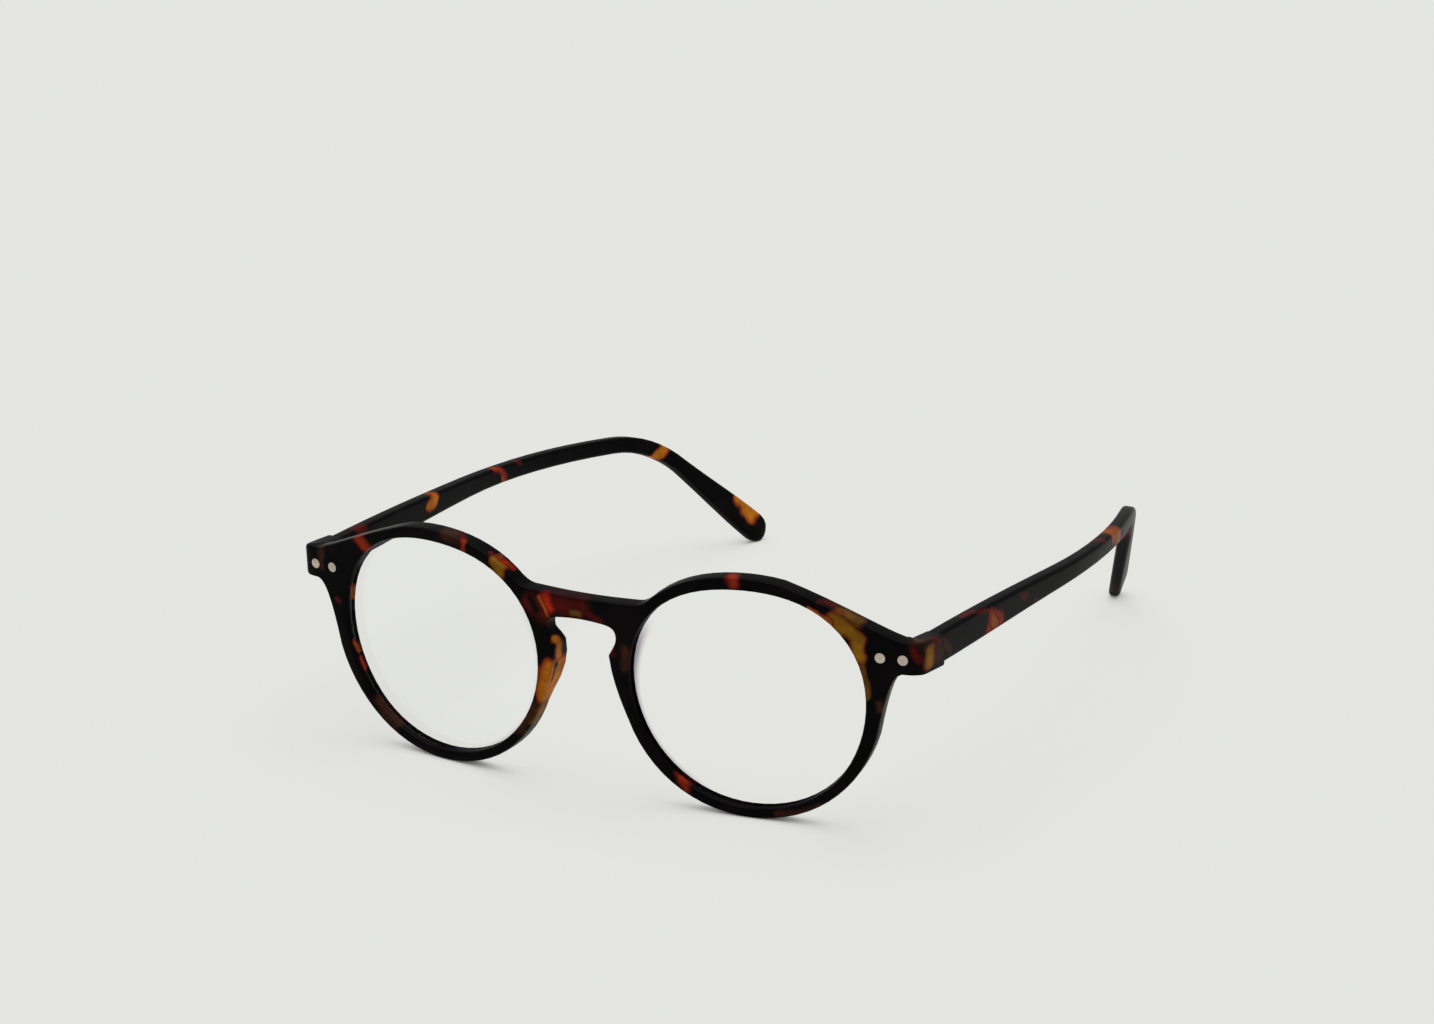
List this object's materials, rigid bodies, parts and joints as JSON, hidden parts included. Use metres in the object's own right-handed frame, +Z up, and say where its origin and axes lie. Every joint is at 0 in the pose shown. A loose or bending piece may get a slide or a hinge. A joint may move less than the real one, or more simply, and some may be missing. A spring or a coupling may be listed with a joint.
{
  "type": "reading glasses",
  "caption": "Reading glasses with round lenses, a keyhole bridge, moulded nose pads and folding temples on sprung hinges.",
  "frame": {"origin": "centre of the open glasses from side to side and from front to back, on the surface they stand on", "axes": "+Z up, -Y the way the front of the lenses faces, +X towards the wearer's left"},
  "size_m": [0.1418, 0.1694, 0.0486],
  "materials": {
    "frame": "satin dark tortoiseshell",
    "temple": "satin dark tortoiseshell",
    "lens": "clear, lightly domed",
    "rivet": "pale satin",
    "hinge": "silver",
    "spring": "drawn wire"
  },
  "bodies": {
    "front": {"front_frame": "frame", "lens_left": "lens", "lens_right": "lens", "front_rivets_left": "rivet", "front_rivets_right": "rivet", "front_hinge_left": "hinge", "front_hinge_right": "hinge", "hinge_screw_left": "hinge", "hinge_screw_right": "hinge"},
    "eye_left": {"hinge_eye_left": "hinge", "spring_nut_left": "hinge"},
    "eye_right": {"hinge_eye_right": "hinge", "spring_nut_right": "hinge"},
    "temple_left": {"temple_left": "temple", "spring_housing_left": "hinge", "guide_bush_left": "hinge", "flex_spring_left": "spring"},
    "temple_right": {"temple_right": "temple", "spring_housing_right": "hinge", "guide_bush_right": "hinge", "flex_spring_right": "spring"}
  },
  "joints": [
    {"name": "fold_left", "type": "hinge", "parent": "front", "child": "eye_left", "pos_m": [0.06273, -0.06696, 0.03483], "axis": [0, 0, 1], "range_deg": [0, 89]},
    {"name": "fold_right", "type": "hinge", "parent": "front", "child": "eye_right", "pos_m": [-0.06273, -0.06696, 0.03483], "axis": [0, 0, -1], "range_deg": [0, 82]},
    {"name": "flex_left", "type": "slide", "parent": "eye_left", "child": "temple_left", "axis": [0.0541, 0.9985, 0], "range_m": [0, 0.0012], "stiffness_N_per_m": 2500, "springref_m": -0.001, "deforming": ["flex_spring_left"]},
    {"name": "flex_right", "type": "slide", "parent": "eye_right", "child": "temple_right", "axis": [-0.0541, 0.9985, 0], "range_m": [0, 0.0012], "stiffness_N_per_m": 2500, "springref_m": -0.001, "deforming": ["flex_spring_right"]}
  ]
}
